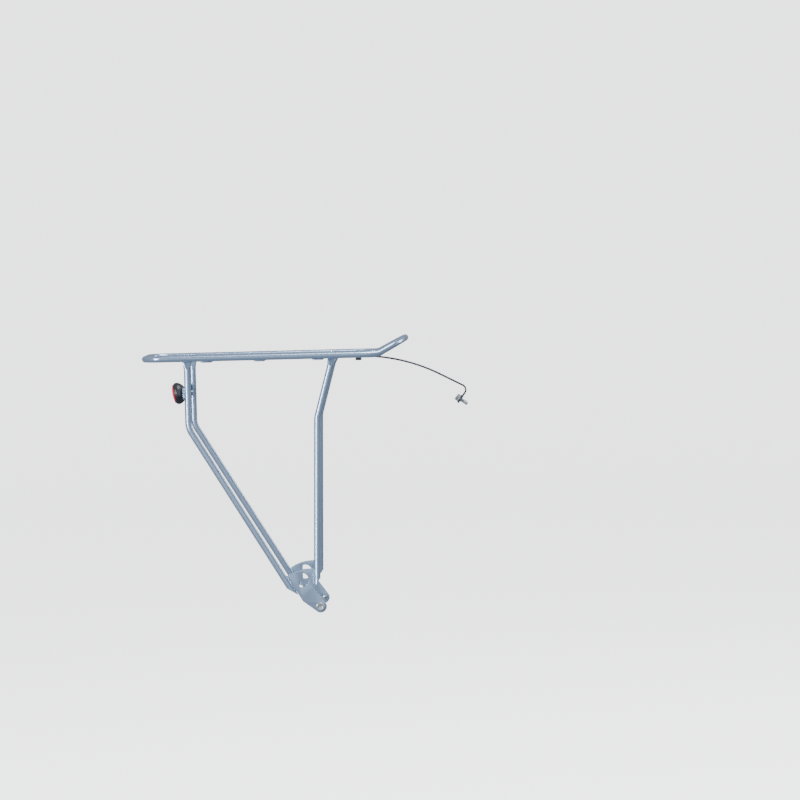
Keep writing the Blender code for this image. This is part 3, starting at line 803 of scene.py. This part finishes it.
def make_stay(steel):
    """A strap cut flat with its slot, hole and round ends, then bent along its route."""
    total = sum(length for length, turn in stay_stretches())
    slot_width = M5["thread"] + 2 * GAP
    slot = rectangle(STAY_SLIDE + slot_width, slot_width, slot_width / 2 - 0.01 * MM, 12)
    slot_middle = STAY_BOLT_X - STAY_SLOT_BEHIND_BOLT - STAY_REAR
    hole_at = total - (STAY_TAB_LENGTH - STAY_TAB_HOLE)
    outlines = [
        moved(rectangle(total, STAY_WIDTH, STAY_END_CORNER, 12), total / 2),
        moved(slot, slot_middle),
        moved(circle(M6["thread"] / 2 + GAP), hole_at),
    ]
    strap = flat_mesh("stay_strap", outlines, STAY_THICKNESS, 0.5 * MM, steel)
    shape = bmesh.new()
    shape.from_mesh(strap.data)
    for cut in stay_cuts()[1:-1]:
        everything = shape.verts[:] + shape.edges[:] + shape.faces[:]
        bmesh.ops.bisect_plane(shape, geom=everything, dist=1e-7, plane_co=(cut, 0, 0), plane_no=(1, 0, 0))
    for vertex in shape.verts:
        place, heading = stay_at(vertex.co.x)
        height = vertex.co.z
        vertex.co = (
            place.x - math.sin(heading) * height, vertex.co.y, place.y + math.cos(heading) * height
        )
    shape.to_mesh(strap.data)
    shape.free()
    finish_piece(strap, "stay", ["front_stay"])
    return hole_at


def make_stay_fasteners(hole_at, zinc_plate, steel):
    place, heading = stay_at(hole_at)
    hole = Vector((place.x, 0, place.y))
    rearward = Vector((math.sin(heading), 0, -math.cos(heading)))
    face = hole + rearward * (STAY_THICKNESS / 2 + GAP)
    make_washer("tab_washer", "bridge_washer", face, rearward, M6, "stay", zinc_plate)
    seat = face + rearward * (M6["washer_thickness"] + GAP)
    make_bolt("tab_bolt", "bridge_bolt", seat, -rearward, M6, M6_BOLT_LENGTH, "stay", zinc_plate)

    up = Vector((0, 0, 1))
    under = Vector((STAY_BOLT_X, 0, STAY_HEIGHT - STAY_THICKNESS / 2 - GAP))
    make_washer("clamp_washer", "stay_washer", under, -up, M5, "stay_clamp", zinc_plate)
    seat = under - up * (M5["washer_thickness"] + GAP)
    make_bolt("clamp_bolt", "stay_bolt", seat, up, M5, M5_BOLT_LENGTH, "stay_clamp", steel)
    nut_low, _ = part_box("stay_nut")
    nut_face = Vector((STAY_BOLT_X, 0, nut_low.z))
    make_nut("clamp_nut", "stay_nut", nut_face, up, M5, "stay_clamp", zinc_plate)


# Reflector


def lathe(name, profile, material):
    """A solid turned round its own Z from a profile of radius and height, closed flat at both ends."""
    steps = 64
    shape = bmesh.new()
    angles = [2 * math.pi * step / steps for step in range(steps)]
    rings = [
        add_ring(shape, [(r * math.cos(a), r * math.sin(a), h) for a in angles]) for r, h in profile
    ]
    join_rings(shape, rings)
    shape.faces.new(rings[0])
    shape.faces.new(rings[-1][::-1])
    bmesh.ops.recalc_face_normals(shape, faces=shape.faces)
    return mesh_object(name, shape, material)


def rounded(profile, radius):
    """A profile with each corner between its ends rounded, less where a side is too short for that."""
    points = [Vector(profile[0])]
    for before, corner, after in zip(profile, profile[1:], profile[2:]):
        short = min((Vector(corner) - Vector(before)).length, (Vector(after) - Vector(corner)).length)
        turn = (Vector(corner) - Vector(before)).angle(Vector(after) - Vector(corner))
        fitting = min(radius, 0.45 * short / max(math.tan(turn / 2), 0.01))
        points += fillet(before, corner, after, fitting, 4)
    points.append(Vector(profile[-1]))
    return points


def make_housing(plastic):
    """A round cup, widest just behind the lens, that narrows to its seat on the bar."""
    rim, depth = LENS_RADIUS + 0.15 * MM, REFLECTOR_DEPTH
    bottom, seat = 7.0 * MM, depth - 2.3 * MM
    outline = [(0.2 * MM, bottom), (10.0 * MM, bottom)]
    outline += [(rim - 1.4 * MM, seat), (rim, seat), (rim, depth)]
    outline += [
        (r * MM, depth - back * MM)
        for r, back in (
            (14.5, 0), (15.6, 1.4), (16.1, 3.8), (16.0, 6.0), (15.2, 8.2), (13.8, 10.4),
            (11.8, 12.6), (9.8, 14.4), (8.0, 15.4), (7.8, 15.8), (0.2, 15.8),
        )
    ]
    cup = lathe("reflector_cup", rounded(outline, 1.2 * MM), plastic)
    rearward = Vector((-math.cos(REFLECTOR_TILT), 0, -math.sin(REFLECTOR_TILT)))
    stand(cup, (BAR_REAR, 0, BAR_Z), rearward)
    finish_piece(cup, "rack", ["reflector_housing"])
    return rearward


def lens_height(radius):
    """Height of the lens's dome over its rim, at a radius."""
    sphere = (LENS_RADIUS**2 + LENS_DOME**2) / (2 * LENS_DOME)
    return math.sqrt(sphere**2 - radius**2) - sphere + LENS_DOME


def make_lens(red, rearward):
    """A domed lens: a plain rim round a field of corner prisms."""
    shape = bmesh.new()
    front = REFLECTOR_DEPTH + LENS_WALL
    rows = {}
    reach = int(PRISM_FIELD / PRISM_PITCH * 1.3)
    for i in range(-reach, reach + 1):
        for j in range(-reach, reach + 1):
            x, y = PRISM_PITCH * (i + j / 2), PRISM_PITCH * j * math.sqrt(3) / 2
            if math.hypot(x, y) < PRISM_FIELD:
                level = lens_height(math.hypot(x, y)) - PRISM_DEPTH * ((i - j) % 3) / 2
                rows[i, j] = shape.verts.new((x, y, front + level))
    for i, j in rows:
        for second, third in (((i + 1, j), (i, j + 1)), ((i, j + 1), (i - 1, j + 1))):
            if second in rows and third in rows:
                shape.faces.new((rows[i, j], rows[second], rows[third]))
    prisms = mesh_object("reflector_prisms", shape, red)
    stand(prisms, (BAR_REAR, 0, BAR_Z), rearward)
    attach(prisms, "rack")

    back, under_prisms = REFLECTOR_DEPTH - 2.0 * MM, front - 0.3 * MM
    profile = [(0.2 * MM, back), (LENS_RADIUS, back)]
    inner, rim_steps = PRISM_FIELD - 0.9 * MM, 12
    for step in range(rim_steps + 1):
        radius = LENS_RADIUS + (inner - LENS_RADIUS) * step / rim_steps
        edge = 0.3 * MM * max(0.0, 1 - step / 2)
        profile.append((radius, front + lens_height(radius) - edge))
    profile += [(inner - 0.3 * MM, under_prisms), (0.2 * MM, under_prisms)]
    ring = lathe("reflector_glass", profile, red)
    stand(ring, (BAR_REAR, 0, BAR_Z), rearward)
    finish_piece(ring, "rack", ["reflector_lens"])


def make_stud(zinc_plate):
    """The reflector's threaded stud through the bar, with its washer and nut in front."""
    low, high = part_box("reflector_stud")
    forward = Vector((1, 0, 0))
    length, taper, tip = high.x - low.x, 0.6 * MM, M5["thread"] / 2 - 0.7 * MM
    shape = bmesh.new()
    rings = [polar(tip, 0)]
    rings += thread_rings(M5, taper, length - taper)
    rings.append(polar(tip, length))
    joined = [add_ring(shape, ring) for ring in rings]
    join_rings(shape, joined)
    shape.faces.new(joined[0])
    shape.faces.new(joined[-1])
    bmesh.ops.recalc_face_normals(shape, faces=shape.faces)
    stud = stand(mesh_object("reflector_thread", shape, zinc_plate), (low.x, 0, BAR_Z), forward)
    finish_piece(stud, "rack", ["reflector_stud"], angle=28)
    washer_face = Vector((BAR_REAR + BAR_THICKNESS + GAP, 0, BAR_Z))
    make_washer("bar_washer", "reflector_washer", washer_face, forward, M5, "rack", zinc_plate)
    nut_face = washer_face + forward * (M5["washer_thickness"] + GAP)
    make_nut("bar_nut", "reflector_nut", nut_face, forward, M5, "rack", zinc_plate)


# Weld beads

BEAD_STEP = 0.28 * MM
BEAD_RIPPLE = 0.10
BEAD_RIPPLE_PITCH = 1.3 * MM
BEAD_WANDER = 0.08
BEAD_WANDER_PITCH = 3.0 * MM / 5.1
LEG_TOP_BEAD_HALF = 6.6 * MM

def weld(shape, start, end, radius):
    """A rippled bead between two places, thin at both ends."""
    start, end = Vector(start), Vector(end)
    length = (end - start).length
    steps = max(8, int(length / BEAD_STEP))
    side = Vector((0, 0, 1)) if abs((end - start).normalized().z) < 0.7 else Vector((1, 0, 0))
    route, sections = [], []
    for step in range(steps + 1):
        share = step / steps
        swell = math.sqrt(max(0.0, 1 - (2 * share - 1) ** 6))
        ripple = 1 + BEAD_RIPPLE * math.sin(2 * math.pi * share * length / BEAD_RIPPLE_PITCH)
        wander = BEAD_WANDER * radius * math.sin(share * length / BEAD_WANDER_PITCH)
        route.append(start.lerp(end, share) + side * wander)
        sections.append(circle_section(max(0.12, swell) * ripple * radius, 12))
    rings = sweep(shape, route, sections, side)
    shape.faces.new(rings[0][::-1])
    shape.faces.new(rings[-1])


def leg_line(leg, height, offset):
    """X and Z at a height on a leg's lower run, set off square to the run towards +X."""
    bend, foot = Vector(leg["bend"]) * MM, Vector(leg["foot"]) * MM
    run = (foot - bend).normalized()
    place = bend + run * ((height - bend.y) / run.y)
    return place + Vector((-run.y, run.x)) * offset


def weld_feet(shape, side):
    """Beads on both faces of a dropout plate, along both of its legs, between two heights."""
    seams = ((REAR_LEG, TUBE / 2, 21.0 * MM, 43.0 * MM), (FRONT_LEG, -TUBE / 2, 31.5 * MM, 54.0 * MM))
    for face in (-1, 1):
        deep = face * (PLATE_THICKNESS / 2 + 0.35 * MM)
        for leg, offset, low, high in seams:
            ends = []
            for height in (low, high):
                x, z = leg_line(leg, height, offset)
                ends.append((x, side * PLATE_Y + deep, z))
            weld(shape, ends[0], ends[1], 1.05 * MM)


def weld_leg_tops(shape, side):
    """Beads above and below where each crimped leg meets the platform tube's inner side."""
    for middle in (REAR_LEG["top"][0] * MM, FRONT_LEG["top"][0] * MM):
        for height, y, radius in ((368.4, 68.2, 0.9), (362.6, 68.6, 1.1)):
            start = (middle - LEG_TOP_BEAD_HALF, side * y * MM, height * MM)
            weld(shape, start, (middle + LEG_TOP_BEAD_HALF, start[1], start[2]), radius * MM)


def weld_cross_plates(shape, side):
    """Beads on top of each cross plate's end, and above and below the stay mount plate's."""
    for place in ("rear", "middle", "front"):
        low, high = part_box("cross_plate_" + place)
        start = (low.x + 1.5 * MM, side * 70.0 * MM, high.z + 0.35 * MM)
        weld(shape, start, (high.x - 1.5 * MM, start[1], start[2]), 0.9 * MM)
    low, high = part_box("stay_mount_plate")
    for height in (high.z + 0.2 * MM, low.z - 0.2 * MM):
        start = (low.x + 1.2 * MM, side * 67.6 * MM, height)
        weld(shape, start, (high.x - 1.2 * MM, start[1], start[2]), 0.8 * MM)


def weld_bar(shape, side):
    """Upright beads where the reflector bar meets a rear leg, one on each side of the leg."""
    low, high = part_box("reflector_bar")
    for across in (-3.1 * MM, 2.6 * MM):
        ends = []
        for height in (low.z + 1.2 * MM, high.z - 1.2 * MM):
            ends.append((high.x + 0.3 * MM, side * (lean(height) + across), height))
        weld(shape, ends[0], ends[1], 0.75 * MM)


def make_welds(paint):
    jobs = {"foot": weld_feet, "leg_top": weld_leg_tops, "deck": weld_cross_plates, "bar": weld_bar}
    for job, add_beads in jobs.items():
        for name, side in SIDES.items():
            shape = bmesh.new()
            add_beads(shape, side)
            bmesh.ops.recalc_face_normals(shape, faces=shape.faces)
            finish_piece(mesh_object(f"weld_{job}_{name}", shape, paint), "rack", angle=60)


def main():
    paint, plated, steel = silver_paint(), zinc(), dark_steel()
    add_camera()
    add_studio()
    make_platform(paint)
    for name, side in SIDES.items():
        make_leg("leg_rear_" + name, REAR_LEG, side, paint)
        make_leg("leg_front_" + name, FRONT_LEG, side, paint)
    make_plates(paint)
    make_level_plates(paint)
    make_bar(paint)
    make_frame_bolts(plated)
    hole_at = make_stay(steel)
    make_stay_fasteners(hole_at, plated, steel)
    rearward = make_housing(black_plastic())
    make_lens(red_lens(), rearward)
    make_stud(plated)
    make_welds(paint)


main()
